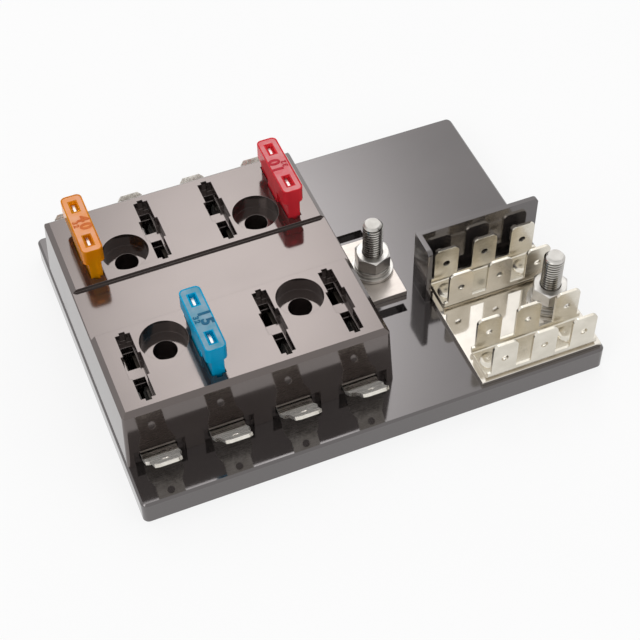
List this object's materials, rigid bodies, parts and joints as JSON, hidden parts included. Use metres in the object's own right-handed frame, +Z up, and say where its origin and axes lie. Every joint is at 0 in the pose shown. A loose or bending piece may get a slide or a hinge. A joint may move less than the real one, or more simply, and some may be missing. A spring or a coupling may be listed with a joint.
{
  "type": "blade fuse block",
  "caption": "Low fuse block with two rows of blade fuse sockets, angled push-on load tabs, a main stud and a ground bus with its own stud behind a barrier wall.",
  "frame": {"origin": "middle of the underside of the base", "axes": "+X from the fuse housing towards the ground bus, along the length; +Z up, out of the panel; -Y towards the side with the ground bus"},
  "size_m": [0.116, 0.0872, 0.0332],
  "materials": {
    "base_moulding": "glossy moulded",
    "housing_moulding": "glossy moulded",
    "tinned_bar": "bright tin plate",
    "tinned_spring": "satin tin plate",
    "plated_steel": "bright zinc plate",
    "fuse_metal": "bright",
    "fuse_orange": "translucent moulded",
    "fuse_blue": "translucent moulded",
    "fuse_red": "translucent moulded"
  },
  "bodies": {
    "base": {"base_plate": "base_moulding", "fuse_housing": "housing_moulding", "bus_bar": "tinned_bar", "bus_clip_front_1": "tinned_spring", "bus_clip_front_2": "tinned_spring", "bus_clip_front_3": "tinned_spring", "bus_clip_front_4": "tinned_spring", "bus_clip_rear_1": "tinned_spring", "bus_clip_rear_2": "tinned_spring", "bus_clip_rear_3": "tinned_spring", "bus_clip_rear_4": "tinned_spring", "load_terminal_front_1": "tinned_spring", "load_terminal_front_2": "tinned_spring", "load_terminal_front_3": "tinned_spring", "load_terminal_front_4": "tinned_spring", "load_terminal_rear_1": "tinned_spring", "load_terminal_rear_2": "tinned_spring", "load_terminal_rear_3": "tinned_spring", "load_terminal_rear_4": "tinned_spring", "ground_plate": "tinned_bar", "ground_strip_front": "tinned_spring", "ground_strip_rear": "tinned_spring", "main_stud": "plated_steel", "ground_stud": "plated_steel"},
    "fuse_orange": {"fuse_orange_body": "fuse_orange", "fuse_orange_element": "fuse_metal"},
    "fuse_blue": {"fuse_blue_body": "fuse_blue", "fuse_blue_element": "fuse_metal"},
    "fuse_red": {"fuse_red_body": "fuse_red", "fuse_red_element": "fuse_metal"},
    "main_washers": {"main_flat_washer": "plated_steel", "main_lock_washer": "plated_steel"},
    "main_nut": {"main_nut": "plated_steel"},
    "ground_washers": {"ground_flat_washer": "plated_steel", "ground_lock_washer": "plated_steel"},
    "ground_nut": {"ground_nut": "plated_steel"}
  },
  "joints": [
    {"name": "fuse_orange_pull", "type": "slide", "parent": "base", "child": "fuse_orange", "axis": [0, 0, 1], "range_m": [0, 0.012]},
    {"name": "fuse_blue_pull", "type": "slide", "parent": "base", "child": "fuse_blue", "axis": [0, 0, 1], "range_m": [0, 0.012]},
    {"name": "fuse_red_pull", "type": "slide", "parent": "base", "child": "fuse_red", "axis": [0, 0, 1], "range_m": [0, 0.012]},
    {"name": "main_washers_lift", "type": "slide", "parent": "base", "child": "main_washers", "axis": [0, 0, 1], "range_m": [0, 0.0088]},
    {"name": "main_nut_turn", "type": "hinge", "parent": "main_washers", "child": "main_nut", "pos_m": [0.0162, 0, 0.012], "axis": [0, 0, 1], "range_deg": [0, 3961]},
    {"name": "ground_washers_lift", "type": "slide", "parent": "base", "child": "ground_washers", "axis": [0, 0, 1], "range_m": [0, 0.0088]},
    {"name": "ground_nut_turn", "type": "hinge", "parent": "ground_washers", "child": "ground_nut", "pos_m": [0.0516, -0.02585, 0.012], "axis": [0, 0, 1], "range_deg": [0, 3961]}
  ],
  "couplings": [
    {"joint": "main_nut_turn", "follows": "main_washers_lift", "rad_per_m": 7854},
    {"joint": "ground_nut_turn", "follows": "ground_washers_lift", "rad_per_m": 7854}
  ]
}
